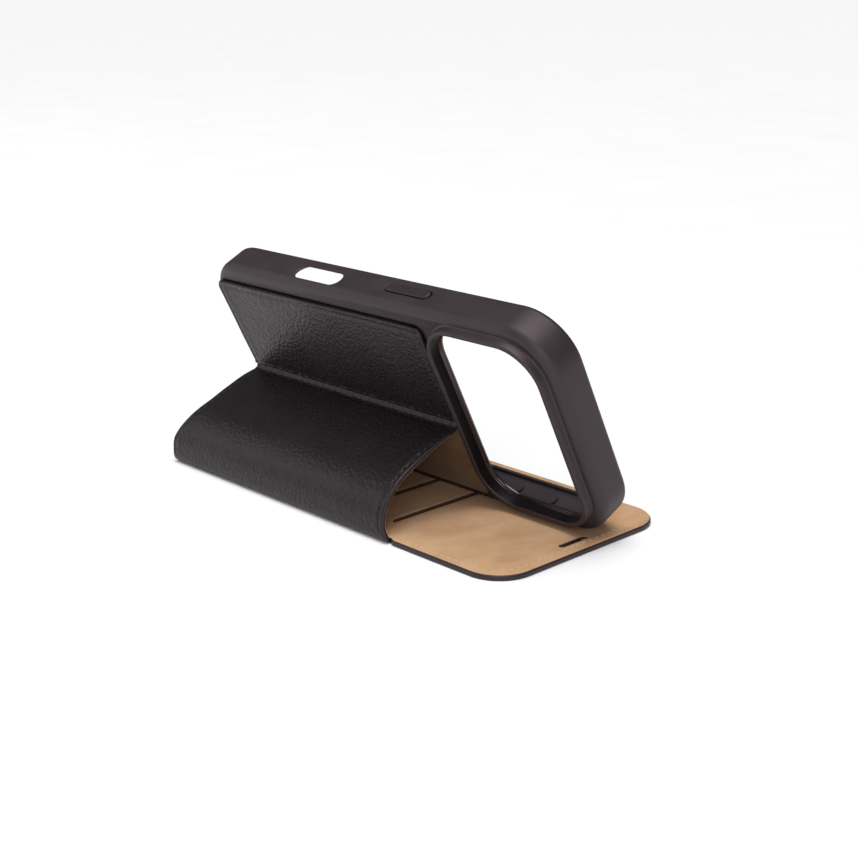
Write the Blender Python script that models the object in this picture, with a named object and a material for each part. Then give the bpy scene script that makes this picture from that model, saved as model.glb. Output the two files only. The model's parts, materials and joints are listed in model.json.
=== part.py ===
"""Phone wallet case, standing as a landscape stand.

A moulded tray holds the phone. A leather folio is bonded to the upper part of the tray's back,
folds at a crease, curls down as a soft spine and ends in a flat front cover that lies on the
table. X runs along the phone (its camera end at +X), Y from the spine to the cover's free edge,
Z up. The origin is the centre of the object's box, on the table.
"""
import math

import bmesh
import bpy
from mathutils import Vector

MM = 0.001

# ---- driving dimensions, in millimetres ---------------------------------------------------
BOX_CENTRE_X = 75.1          # centre of the object's box, measured from the tray's port end
BOX_CENTRE_Y = 37.3          # the same, measured from the cover's spine edge

PHONE_LENGTH = 150.2         # cavity for a 6.3 inch phone, 150.0 x 71.9 x 8.75
PHONE_WIDTH = 72.05
PHONE_DEPTH = 8.85
WALL = 2.2
BACK = 2.4
LIP_HEIGHT = 1.2
LIP_REACH = 1.2
LIP_SOFT = 0.4               # small bevels on the lip
FLOOR_SOFT = 0.8             # bevel between the cavity's floor and its wall
TRAY_LENGTH = PHONE_LENGTH + 2 * WALL
TRAY_WIDTH = PHONE_WIDTH + 2 * WALL
TRAY_DEPTH = BACK + PHONE_DEPTH + LIP_HEIGHT
TRAY_CORNER = 16.0
BACK_ROUND = 3.2
FRONT_ROUND = 2.0
LEAN = math.radians(26.1)    # the tray leans back by this much from upright

COVER_X0 = -4.4              # the cover reaches a little past the tray's port end
COVER_X1 = 151.5
COVER_WIDTH = 74.9
COVER_CORNER = 12.0
COVER_THICK = 2.0
STRIP_RIGHT = 104.0          # right end of the back panel, the flap and the spine
NECK_ROUND = 3.0             # where the cover's edge turns into the spine
EDGE_INSET = 2.2             # boards stop short of the stitched edge

TRAY_FOOT_Y = 46.6           # where the tray's lower back edge stands on the cover
CREASE_UP = 32.6             # crease height, measured up the tray's back
CREASE_PROUD = 1.35          # the leather's outer face stands this far off the tray's back
FOLD_BACK = 1.0              # leather ends this far from the cover fold's axis
FOLD_CLEAR = 0.42            # the spine and the flap stop this short of their fold
SPINE_START = 0.45           # the spine starts this far past the curl's second point
SPINE_LENGTH = 14.6
WIDE_BELOW = 8.5             # the curl has the cover's full reach below this height
NARROW_ABOVE = 21.5          # and the flap's own width above this one
FLAP_X0 = 1.9                # left end of the flap, a little past the back panel's

LEATHER = 0.6
BOARD = 0.35
SUEDE = 0.43
POCKET = 0.12
GLUE = 0.07                  # glue line between bonded layers
THIN = 0.25                  # board in the flap
SPINE_LINING = 0.6
FLAP_LEATHER = 0.55
FLAP_LINING = 0.33
GAP = 0.3                    # clearance between pieces that meet
REACH = 2.0                  # cutters reach this far past the face they open
EDGE_LIFT = BACK_ROUND * (math.sin(LEAN) + math.cos(LEAN) - 1)  # a rounded edge stands lower

POCKET_MOUTHS = (78.0, 96.0)
POCKET_Y = (11.0, 66.0)
POCKET_MARGIN = 2.0          # pocket cloth past the end of its mouth
POCKET_X0 = 3.6
MOUTH_WIDTH = 0.9
EARPIECE = (145.8, 38.2)
EARPIECE_SIZE = (2.4, 12.4)

PANEL_X0 = 3.9
PANEL_TOP = 69.7
PANEL_CORNER = 3.0
RECESS = 0.55                # shallow recess in the tray's back that takes the panels
BOND = 0.1                   # glue under the board and the backing

WINDOW = (107.2, 5.4, 149.3, 71.2)
WINDOW_CORNER = 11.8
RIM_WIDTH = 1.45
RIM_PROUD = 2.8
RIM_SOFT = 0.45              # rounding of the rim's outer face

CONTROL_X = (45.9, 65.7)
CONTROL_DEPTH = (1.5, 9.0)
CONTROL_CORNER = 3.2
PORT_WIDTH = 15.0
PORT_HEIGHT = 6.6
SPEAKER_WIDTH = 11.0
SPEAKER_HEIGHT = 2.4
SPEAKER_OFFSET = 19.0

BUTTON_MID = 6.3             # depth of the buttons' centre line below the tray's back
BUTTON_WIDTH = 3.5
BUTTON_PROUD = 0.55
BUTTON_SOFT = 0.35
FLANGE = 0.9
FLANGE_THICK = 0.5
BUTTONS = (                  # name, centre along X, length, +1 upper wall or -1 lower wall
    ("power_button", 95.6, 18.6, 1),
    ("action_button", 122.2, 7.6, -1),
    ("volume_up_button", 106.2, 10.4, -1),
    ("volume_down_button", 92.2, 10.4, -1),
)

# Outer face of the curl, (Y, Z) from the table up to the crease.
CURL = ((1.3, 0.0), (-0.1, 1.8), (-0.3, 5.2), (0.3, 9.4), (2.4, 13.8), (6.9, 18.4),
        (13.6, 22.3), (22.0, 26.2))
CURL_STEPS = 4
ARC = 7                      # segments in a quarter round

UP = Vector((0.0, -math.sin(LEAN), math.cos(LEAN)))
OUT = Vector((0.0, -math.cos(LEAN), -math.sin(LEAN)))
TRAY_FOOT = Vector((0.0, TRAY_FOOT_Y, COVER_THICK + GAP - EDGE_LIFT))
CREASE = TRAY_FOOT + UP * CREASE_UP + OUT * CREASE_PROUD
COVER_FOLD = Vector((0.0, 0.75, 0.95))


# ---- scene helpers ------------------------------------------------------------------------
def clear_scene():
    for item in list(bpy.data.objects):
        bpy.data.objects.remove(item, do_unlink=True)


def material(name, colour, roughness, metallic=0.0):
    made = bpy.data.materials.new(name)
    made.use_nodes = True
    shader = made.node_tree.nodes["Principled BSDF"]
    shader.inputs["Base Color"].default_value = (*colour, 1.0)
    shader.inputs["Roughness"].default_value = roughness
    shader.inputs["Metallic"].default_value = metallic
    return made


def empty(name, place, parent=None, turn=0.0):
    """An axis or a frame, at a place in millimetres in its parent's own frame."""
    made = bpy.data.objects.new(name, None)
    bpy.context.collection.objects.link(made)
    made.empty_display_size = 0.01
    made.location = Vector(place) * MM
    made.rotation_euler = (turn, 0.0, 0.0)
    made.parent = parent
    return made


def piece(name, shape, look, parent, place=(0.0, 0.0, 0.0), turn=0.0, smooth=35.0):
    """Turn a bmesh in millimetres into a named object."""
    bmesh.ops.recalc_face_normals(shape, faces=shape.faces)
    bmesh.ops.scale(shape, vec=(MM, MM, MM), verts=shape.verts)
    mesh = bpy.data.meshes.new(name)
    shape.to_mesh(mesh)
    shape.free()
    mesh.shade_smooth()
    mesh.set_sharp_from_angle(angle=math.radians(smooth))
    made = bpy.data.objects.new(name, mesh)
    bpy.context.collection.objects.link(made)
    if look:
        mesh.materials.append(look)
    made.location = Vector(place) * MM
    made.rotation_euler = (turn, 0.0, 0.0)
    made.parent = parent
    return made


def cut(target, name, shape, parent, place=(0.0, 0.0, 0.0), turn=0.0):
    """Cut a shape out of a piece, with a hidden cutter."""
    cutter = piece(name, shape, None, parent, place, turn)
    cutter.hide_render = True
    cutter.display_type = "WIRE"
    boolean = target.modifiers.new(name, "BOOLEAN")
    boolean.operation = "DIFFERENCE"
    boolean.solver = "EXACT"
    boolean.object = cutter


# ---- outlines and solids ------------------------------------------------------------------
def rounded(corners, segments=ARC):
    """Points of a closed outline from (x, y, radius) corners; a radius of 0 is a sharp corner."""
    points = []
    count = len(corners)
    for index, (x, y, radius) in enumerate(corners):
        here = Vector((x, y))
        if radius == 0:
            points.append(here)
            continue
        before = (Vector(corners[index - 1][:2]) - here).normalized()
        after = (Vector(corners[(index + 1) % count][:2]) - here).normalized()
        half = before.angle(after) / 2
        centre = here + (before + after).normalized() * radius / math.sin(half)
        start = here + before * radius / math.tan(half) - centre
        sweep = math.pi - 2 * half
        side = 1 if before.x * after.y - before.y * after.x < 0 else -1
        for step in range(segments + 1):
            angle = side * sweep * step / segments
            turned = Vector((start.x * math.cos(angle) - start.y * math.sin(angle),
                             start.x * math.sin(angle) + start.y * math.cos(angle)))
            points.append(centre + turned)
    return points


def box_outline(x0, y0, x1, y1, radius, segments=ARC):
    return rounded([(x0, y0, radius), (x1, y0, radius), (x1, y1, radius), (x0, y1, radius)],
                   segments)


def slot(length, width, radius=None):
    """A slot's outline about its centre; its ends are nearly half rounds by default."""
    if radius is None:
        radius = min(length, width) * 0.499
    return box_outline(-length / 2, -width / 2, length / 2, width / 2, radius, 5)


def loft(loops, closed=False):
    """A solid skinned over loops of equal length; closed joins the last loop to the first."""
    shape = bmesh.new()
    rings = [[shape.verts.new(point) for point in loop] for loop in loops]
    pairs = list(zip(rings, rings[1:]))
    if closed:
        pairs.append((rings[-1], rings[0]))
    for lower, upper in pairs:
        for index in range(len(lower)):
            following = (index + 1) % len(lower)
            shape.faces.new((lower[index], lower[following], upper[following], upper[index]))
    if not closed:
        shape.faces.new(list(reversed(rings[0])))
        shape.faces.new(rings[-1])
    return shape


def plate(outline, z0, z1):
    return loft([[(p[0], p[1], z) for p in outline] for z in (z0, z1)])


def box(x0, y0, z0, x1, y1, z1):
    return plate([(x0, y0), (x1, y0), (x1, y1), (x0, y1)], z0, z1)


def smooth_path(points, steps):
    """A smooth open curve through the points."""
    ends = [2 * points[0] - points[1], *points, 2 * points[-1] - points[-2]]
    path = []
    for a, b, c, d in zip(ends, ends[1:], ends[2:], ends[3:]):
        for step in range(steps):
            t = step / steps
            path.append(0.5 * (2 * b + (c - a) * t + (2 * a - 5 * b + 4 * c - d) * t ** 2
                               + (3 * b - a - 3 * c + d) * t ** 3))
    path.append(points[-1])
    return path


def stretch(path, start, end):
    """The part of a path between two distances along it."""
    part, walked = [], 0.0
    for a, b in zip(path, path[1:]):
        span = (b - a).length
        for mark in (start, end):
            if walked < mark < walked + span:
                part.append(a + (b - a) * ((mark - walked) / span))
        if start <= walked + span <= end:
            part.append(b)
        walked += span
    return part


def length_of(path):
    return sum((b - a).length for a, b in zip(path, path[1:]))


def left_edge(height):
    """The leather widens from the flap down to the cover."""
    share = min(1.0, max(0.0, (height - WIDE_BELOW) / (NARROW_ABOVE - WIDE_BELOW)))
    return COVER_X0 + (FLAP_X0 - COVER_X0) * share


def strip(path, depth, thick, inset=0.0, origin=(0.0, 0.0)):
    """A bent sheet along a (Y, Z) path: depth is measured from the outer face inwards."""
    loops = []
    for index, here in enumerate(path):
        ahead = path[min(index + 1, len(path) - 1)]
        behind = path[max(index - 1, 0)]
        along = (ahead - behind).normalized()
        inward = Vector((along.y, -along.x))
        left = left_edge(here.y) + inset
        right = STRIP_RIGHT - inset
        outer = here + inward * depth - Vector(origin)
        inner = here + inward * (depth + thick) - Vector(origin)
        loops.append([(left, *outer), (right, *outer), (right, *inner), (left, *inner)])
    return loft(loops)


# ---- the leather's section ----------------------------------------------------------------
def curl_paths():
    """The spine's and the flap's outer faces, and the fold between them."""
    points = [Vector(p) for p in CURL] + [Vector((CREASE.y, CREASE.z))]
    whole = smooth_path(points, CURL_STEPS)
    total = length_of(whole)
    start = (points[1] - points[0]).length + SPINE_START
    fold = start + SPINE_LENGTH
    spine = stretch(whole, start, fold - FOLD_CLEAR)
    flap = stretch(whole, fold + FOLD_CLEAR, total - GAP)
    at_fold = stretch(whole, fold, total)[0]
    along = (flap[0] - at_fold).normalized()
    axis = at_fold + Vector((along.y, -along.x)) * (LEATHER + GLUE / 2)
    return spine, flap, Vector((0.0, axis.x, axis.y))


# ---- cover --------------------------------------------------------------------------------
def cover_outline():
    fold_edge = COVER_FOLD.y + FOLD_BACK
    neck = STRIP_RIGHT + GAP
    return rounded([
        (COVER_X0, fold_edge, 0), (neck, fold_edge, 0), (neck + NECK_ROUND, 0.0, NECK_ROUND / 2),
        (COVER_X1, 0.0, COVER_CORNER), (COVER_X1, COVER_WIDTH, COVER_CORNER),
        (COVER_X0, COVER_WIDTH, COVER_CORNER)])


def earpiece_cutter():
    outline = [p + Vector(EARPIECE) for p in slot(*EARPIECE_SIZE)]
    return plate(outline, -REACH, COVER_THICK + REACH)


def build_cover(body, looks):
    outline = cover_outline()
    base = plate(outline, 0.0, LEATHER)
    leather = piece("cover_leather", base, looks["leather"], body)
    board_low = LEATHER + GLUE
    inner = box_outline(COVER_X0 + EDGE_INSET, COVER_FOLD.y + FOLD_BACK + EDGE_INSET,
                        COVER_X1 - EDGE_INSET, COVER_WIDTH - EDGE_INSET,
                        COVER_CORNER - EDGE_INSET)
    board = piece("cover_board", plate(inner, board_low, board_low + BOARD), looks["board"], body)
    level = board_low + BOARD + GLUE
    names = ("lower_card_pocket", "upper_card_pocket")
    for name, mouth in zip(names, POCKET_MOUTHS):
        sheet = box_outline(POCKET_X0, POCKET_Y[0] - POCKET_MARGIN, mouth + POCKET_MARGIN,
                            POCKET_Y[1] + POCKET_MARGIN, POCKET_MARGIN)
        piece(name, plate(sheet, level, level + POCKET), looks["pocket"], body)
        level += POCKET + GLUE
    top = piece("cover_lining", plate(outline, COVER_THICK - SUEDE, COVER_THICK),
                looks["suede"], body)
    for sheet, name in ((leather, "leather_earpiece"), (board, "board_earpiece"),
                        (top, "lining_earpiece")):
        cut(sheet, name, earpiece_cutter(), body)
    for mouth in POCKET_MOUTHS:
        slit = box(mouth - MOUTH_WIDTH / 2, POCKET_Y[0], COVER_THICK - SUEDE - GLUE / 2,
                   mouth + MOUTH_WIDTH / 2, POCKET_Y[1], COVER_THICK + REACH)
        cut(top, f"pocket_mouth_{mouth:.0f}", slit, body)


# ---- spine and flap -----------------------------------------------------------------------
def build_spine(body, path, looks):
    origin = (COVER_FOLD.y, COVER_FOLD.z)
    piece("spine_leather", strip(path, 0.0, LEATHER, origin=origin), looks["leather"], body)
    piece("spine_lining", strip(path, LEATHER + GLUE, SPINE_LINING, GAP, origin),
          looks["suede"], body)


def build_flap(body, path, axis, looks):
    origin = (axis.y, axis.z)
    piece("flap_leather", strip(path, 0.0, FLAP_LEATHER, origin=origin), looks["leather"], body)
    inside = stretch(path, EDGE_INSET, length_of(path) - EDGE_INSET)
    piece("flap_board", strip(inside, LEATHER, THIN, EDGE_INSET, origin), looks["board"], body)
    piece("flap_lining", strip(path, LEATHER + THIN + GLUE, FLAP_LINING, GAP, origin),
          looks["suede"], body)


# ---- tray ---------------------------------------------------------------------------------
def tray_loop(inset, depth):
    outline = box_outline(inset, inset, TRAY_LENGTH - inset, TRAY_WIDTH - inset,
                          TRAY_CORNER - inset, 8)
    return [(p.x, p.y, -depth) for p in outline]


def build_tray_shell(frame, looks):
    """The wall's section, run round the tray from the back's flat to the cavity's floor."""
    section = [(BACK_ROUND - BACK_ROUND * math.sin(a), BACK_ROUND - BACK_ROUND * math.cos(a))
               for a in (math.pi / 2 * step / 5 for step in range(6))]
    section += [(FRONT_ROUND - FRONT_ROUND * math.cos(a),
                 TRAY_DEPTH - FRONT_ROUND + FRONT_ROUND * math.sin(a))
                for a in (math.pi / 2 * step / 4 for step in range(5))]
    reach = WALL + LIP_REACH
    lip_under = TRAY_DEPTH - LIP_HEIGHT
    section += [(reach - LIP_SOFT, TRAY_DEPTH), (reach, TRAY_DEPTH - LIP_SOFT),
                (reach, lip_under), (WALL, lip_under - LIP_SOFT),
                (WALL, BACK + FLOOR_SOFT), (WALL + FLOOR_SOFT, BACK)]
    shell = piece("tray_shell", loft([tray_loop(*spot) for spot in section]),
                  looks["tray"], frame)
    window = box_outline(WINDOW[0] - RIM_WIDTH - GAP / 2, WINDOW[1] - RIM_WIDTH - GAP / 2,
                         WINDOW[2] + RIM_WIDTH + GAP / 2, WINDOW[3] + RIM_WIDTH + GAP / 2,
                         WINDOW_CORNER + RIM_WIDTH)
    cut(shell, "window_opening", plate(window, -BACK - REACH, REACH), frame)
    recess = box_outline(PANEL_X0 - GAP, PANEL_X0 - GAP, STRIP_RIGHT + GAP,
                         PANEL_TOP + GAP, PANEL_CORNER)
    cut(shell, "panel_recess", plate(recess, -RECESS, REACH), frame)
    control = slot(CONTROL_X[1] - CONTROL_X[0], CONTROL_DEPTH[1] - CONTROL_DEPTH[0],
                   CONTROL_CORNER)
    cut(shell, "control_opening", plate(control, -WALL - REACH, REACH), frame,
        (sum(CONTROL_X) / 2, TRAY_WIDTH, -sum(CONTROL_DEPTH) / 2), -math.pi / 2)
    cut_ports(shell, frame)
    for name, centre, length, side in BUTTONS:
        hole = slot(length + 2 * GAP, BUTTON_WIDTH + 2 * GAP)
        wall_y = TRAY_WIDTH if side > 0 else 0.0
        cut(shell, f"{name}_hole", plate(hole, -WALL - REACH, REACH), frame,
            (centre, wall_y, -BUTTON_MID), -side * math.pi / 2)


def cut_ports(shell, frame):
    """The plug's opening and the two speaker slots, through the port end's wall."""
    middle = BACK + PHONE_DEPTH / 2
    slots = [("port_opening", 0.0, PORT_WIDTH, PORT_HEIGHT),
             ("speaker_opening_low", -SPEAKER_OFFSET, SPEAKER_WIDTH, SPEAKER_HEIGHT),
             ("speaker_opening_high", SPEAKER_OFFSET, SPEAKER_WIDTH, SPEAKER_HEIGHT)]
    for name, offset, length, width in slots:
        outline = slot(length, width)
        shape = loft([[(x, TRAY_WIDTH / 2 + offset + p.x, -middle + p.y) for p in outline]
                      for x in (-REACH, WALL + REACH)])
        cut(shell, name, shape, frame)


def build_window_rim(frame, looks):
    """A hard glossy frame round the camera window, proud of the back."""
    def ring(outset, height):
        outline = box_outline(WINDOW[0] - outset, WINDOW[1] - outset, WINDOW[2] + outset,
                              WINDOW[3] + outset, WINDOW_CORNER + outset)
        return [(p.x, p.y, height) for p in outline]
    low = RIM_PROUD - RIM_SOFT
    near = RIM_SOFT * (1 - math.sqrt(0.5))
    section = [(0.0, -BACK), (RIM_WIDTH, -BACK), (RIM_WIDTH, low),
               (RIM_WIDTH - near, RIM_PROUD - near), (RIM_WIDTH - RIM_SOFT, RIM_PROUD),
               (RIM_SOFT, RIM_PROUD), (near, RIM_PROUD - near), (0.0, low)]
    piece("camera_rim", loft([ring(*spot) for spot in section], closed=True),
          looks["rim"], frame)


def build_back_panel(frame, looks):
    """The stiffened leather panel bonded above the crease, and the suede below it."""
    low = CREASE_UP + GAP
    outline = rounded([(PANEL_X0, low, 0), (STRIP_RIGHT, low, 0),
                       (STRIP_RIGHT, PANEL_TOP, PANEL_CORNER),
                       (PANEL_X0, PANEL_TOP, PANEL_CORNER)])
    base = CREASE_PROUD - LEATHER
    piece("panel_leather", plate(outline, base, CREASE_PROUD), looks["leather"], frame)
    inner = box_outline(PANEL_X0 + EDGE_INSET, low + EDGE_INSET, STRIP_RIGHT - EDGE_INSET,
                        PANEL_TOP - EDGE_INSET, PANEL_CORNER / 2)
    piece("panel_board", plate(inner, BOND - RECESS, base - GLUE), looks["board"], frame)
    lower = rounded([(PANEL_X0, PANEL_X0, PANEL_CORNER), (STRIP_RIGHT, PANEL_X0, PANEL_CORNER),
                     (STRIP_RIGHT, CREASE_UP - GAP, 0), (PANEL_X0, CREASE_UP - GAP, 0)])
    piece("tray_backing", plate(lower, BOND - RECESS, -BOND), looks["suede"], frame)


def build_button(name, centre, length, side, frame, looks):
    """A pill-shaped key that stands in the wall, held by a flange inside it."""
    under = -WALL - GAP / 2
    sections = [(FLANGE, under - FLANGE_THICK), (FLANGE, under), (0.0, under),
                (0.0, BUTTON_PROUD - BUTTON_SOFT), (-BUTTON_SOFT, BUTTON_PROUD)]
    loops = [[(p.x, p.y, z) for p in slot(length + 2 * grow, BUTTON_WIDTH + 2 * grow)]
             for grow, z in sections]
    wall_y = TRAY_WIDTH if side > 0 else 0.0
    piece(name, loft(loops), looks["key"], frame, (centre, wall_y, -BUTTON_MID),
          -side * math.pi / 2)


# ---- assembly -----------------------------------------------------------------------------
def main():
    clear_scene()
    looks = {
        "leather": material("black_leather", (0.018, 0.016, 0.016), 0.55),
        "suede": material("tan_microsuede", (0.45, 0.30, 0.19), 0.95),
        "board": material("fibre_board", (0.35, 0.31, 0.26), 0.9),
        "pocket": material("pocket_cloth", (0.33, 0.22, 0.14), 0.95),
        "tray": material("soft_black_tray", (0.02, 0.017, 0.016), 0.62),
        "key": material("button_keys", (0.02, 0.017, 0.016), 0.5),
        "rim": material("glossy_rim", (0.012, 0.010, 0.011), 0.18),
    }
    spine_path, flap_path, flap_fold = curl_paths()
    cover = empty("cover_frame", (-BOX_CENTRE_X, -BOX_CENTRE_Y, 0.0))
    spine = empty("cover_fold_axis", COVER_FOLD, cover)
    flap = empty("flap_fold_axis", flap_fold - COVER_FOLD, spine)
    crease = empty("stand_crease_axis", CREASE - flap_fold, flap)
    tray = empty("tray_frame", TRAY_FOOT - CREASE, crease, math.pi / 2 + LEAN)
    build_cover(cover, looks)
    build_spine(spine, spine_path, looks)
    build_flap(flap, flap_path, flap_fold, looks)
    build_tray_shell(tray, looks)
    build_window_rim(tray, looks)
    build_back_panel(tray, looks)
    for button in BUTTONS:
        build_button(*button, tray, looks)


main()
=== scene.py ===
"""Looks of the phone wallet case: soft moulded tray, pebbled black leather, tan microsuede."""
import json
import math

import bmesh
import bpy
import numpy as np
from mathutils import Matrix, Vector, noise


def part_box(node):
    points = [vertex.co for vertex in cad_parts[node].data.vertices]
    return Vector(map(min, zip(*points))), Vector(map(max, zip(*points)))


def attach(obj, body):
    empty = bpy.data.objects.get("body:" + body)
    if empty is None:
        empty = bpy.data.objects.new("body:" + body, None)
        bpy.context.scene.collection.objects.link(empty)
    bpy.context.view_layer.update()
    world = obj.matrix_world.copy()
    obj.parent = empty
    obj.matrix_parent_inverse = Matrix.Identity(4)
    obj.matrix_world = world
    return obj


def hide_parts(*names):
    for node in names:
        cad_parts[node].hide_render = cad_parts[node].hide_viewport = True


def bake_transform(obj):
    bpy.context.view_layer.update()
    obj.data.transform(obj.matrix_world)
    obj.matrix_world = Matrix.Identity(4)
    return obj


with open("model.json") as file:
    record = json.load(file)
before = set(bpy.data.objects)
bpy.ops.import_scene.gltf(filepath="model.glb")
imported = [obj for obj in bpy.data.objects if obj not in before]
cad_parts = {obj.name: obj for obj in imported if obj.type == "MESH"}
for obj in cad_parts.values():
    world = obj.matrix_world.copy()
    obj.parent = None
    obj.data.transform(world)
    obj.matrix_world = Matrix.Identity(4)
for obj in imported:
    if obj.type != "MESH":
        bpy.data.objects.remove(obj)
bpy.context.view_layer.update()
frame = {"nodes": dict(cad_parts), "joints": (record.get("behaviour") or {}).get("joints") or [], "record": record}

MM = 0.001

# ---- places read from the frame, in millimetres -------------------------------------------
joints = {joint["name"]: joint for joint in frame["joints"]}
mounts = {mount["name"]: mount for mount in frame["record"]["mounts"]}


def node_box(name):
    low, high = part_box(name)
    return low / MM, high / MM


INTO = Vector(mounts["phone_seat"]["axis"]).normalized()     # from the tray's back to the phone
UP = Vector((1.0, 0.0, 0.0)).cross(INTO)
SEAT_UP = 38.0               # the phone seat's height up the tray's back
BACK = 2.4                   # thickness of the tray's back
SEAT = Vector(mounts["phone_seat"]["pos_m"]) / MM
TRAY_X0 = node_box("tray_shell")[0].x
TRAY_LENGTH = node_box("tray_shell")[1].x - TRAY_X0
FOOT = Vector((TRAY_X0, SEAT.y, SEAT.z)) - UP * SEAT_UP - INTO * BACK
COVER_LOW, COVER_HIGH = node_box("cover_leather")
COVER_TOP = node_box("cover_lining")[1].z
LINING_UNDER = node_box("cover_lining")[0].z
COVER_FOLD = Vector(joints["cover_fold"]["pos_m"]) / MM
FLAP_FOLD = Vector(joints["flap_fold"]["pos_m"]) / MM
CREASE = Vector(joints["stand_crease"]["pos_m"]) / MM
PANEL_LEFT, PANEL_RIGHT = (node_box("panel_leather")[side].x for side in (0, 1))

# ---- sizes, in millimetres ----------------------------------------------------------------
TRAY_WIDTH = 76.45
TRAY_DEPTH = 12.45
TRAY_CORNER = 16.0
WALL = 2.2
LIP = 1.2
BACK_ROUND = 3.2
FRONT_ROUND = 2.0
WINDOW = (107.2, 5.4, 149.3, 71.2)
WINDOW_CORNER = 11.8
RIM_WIDTH = 1.45
RIM_PROUD = 2.8
PROUD = 1.35                 # the back panel's face stands this far off the tray's back
PANEL_TOP = 69.7
PANEL_LOW = 3.9
PANEL_CORNER = 3.0
COVER_CORNER = 12.0
GAP = 0.3
CURL_EDGE = 1.5              # thickness of the leather's painted edge at the curl
PANEL_EDGE = 1.5
FLAP_EDGE = 1.15
CONTROL = (45.3, 66.0, 2.2, 8.2)
CONTROL_CORNER = 2.9
BUTTON_WIDTH = 3.5
EARPIECE = (145.8, 38.2, 2.4, 12.4)
MOUTHS = (78.0, 96.0)
MOUTH_Y = (11.0, 66.0)
MOUTH_WIDTH = 1.5

# The curl's outer face from the table up, as (Y, Z) from a corner below the cover fold.
CURL_ORIGIN = (COVER_FOLD.y - 0.75, COVER_FOLD.z - 0.95)
CURL = ((1.3, 0.0), (-0.1, 1.8), (-0.3, 5.2), (0.3, 9.4), (2.4, 13.8), (6.9, 18.4),
        (13.6, 22.3), (22.0, 26.2))
WIDE_BELOW = 8.5
NARROW_ABOVE = 21.5
FLAP_X0 = 1.5
NEAR_EDGE = 0.8              # the cover's near edge, in from the curl's furthest point


def tray_point(x, up, deep):
    """A point in the tray's own frame: along it, up its back, and in from its back's face."""
    return FOOT + Vector((x, 0.0, 0.0)) + UP * up + INTO * deep


def desk(x, y):
    """Cover coordinates: along X from the tray's port end, Y from the spine edge."""
    return Vector((TRAY_X0 + x, CURL_ORIGIN[0] + y))


# ---- materials ----------------------------------------------------------------------------
class Nodes:
    """Short-hand for building a material's node tree."""

    def __init__(self, name):
        self.material = bpy.data.materials.new(name)
        self.material.use_nodes = True
        self.tree = self.material.node_tree
        self.shader = self.tree.nodes["Principled BSDF"]
        self.place = self.add("ShaderNodeTexCoord").outputs["Object"]

    def add(self, kind, **settings):
        node = self.tree.nodes.new(kind)
        for key, value in settings.items():
            setattr(node, key, value)
        return node

    def link(self, output, target):
        self.tree.links.new(output, target)

    def noise(self, size, detail=2.0, roughness=0.5, stretch=None, place=None):
        """Noise with features of a size in millimetres."""
        made = self.add("ShaderNodeTexNoise")
        made.inputs["Scale"].default_value = 1.0 / (size * MM)
        made.inputs["Detail"].default_value = detail
        made.inputs["Roughness"].default_value = roughness
        source = place or self.place
        if stretch:
            mapping = self.add("ShaderNodeMapping")
            mapping.inputs["Scale"].default_value = stretch
            self.link(source, mapping.inputs["Vector"])
            source = mapping.outputs["Vector"]
        self.link(source, made.inputs["Vector"])
        return made.outputs["Fac"]

    def ramp(self, value, stops):
        made = self.add("ShaderNodeValToRGB")
        elements = made.color_ramp.elements
        while len(elements) < len(stops):
            elements.new(0.5)
        for element, (position, colour) in zip(elements, stops):
            element.position = position
            shade = colour if isinstance(colour, tuple) else (colour,) * 3
            element.color = (*shade, 1.0)
        self.link(value, made.inputs["Fac"])
        return made.outputs["Color"]

    def math(self, operation, first, second):
        made = self.add("ShaderNodeMath", operation=operation)
        for socket, value in zip(made.inputs, (first, second)):
            if isinstance(value, (int, float)):
                socket.default_value = value
            else:
                self.link(value, socket)
        return made.outputs[0]

    def bump(self, height, distance, strength=1.0, under=None):
        """Bump of a height in millimetres, over another bump when one is given."""
        made = self.add("ShaderNodeBump")
        made.inputs["Distance"].default_value = distance * MM
        made.inputs["Strength"].default_value = strength
        self.link(height, made.inputs["Height"])
        if under:
            self.link(under, made.inputs["Normal"])
        return made.outputs["Normal"]

    def set(self, **values):
        for key, value in values.items():
            self.shader.inputs[key.replace("_", " ")].default_value = value

    def finish(self, colour=None, roughness=None, normal=None):
        targets = (("Base Color", colour), ("Roughness", roughness), ("Normal", normal))
        for key, value in targets:
            if value is not None:
                self.link(value, self.shader.inputs[key])
        return self.material


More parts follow.
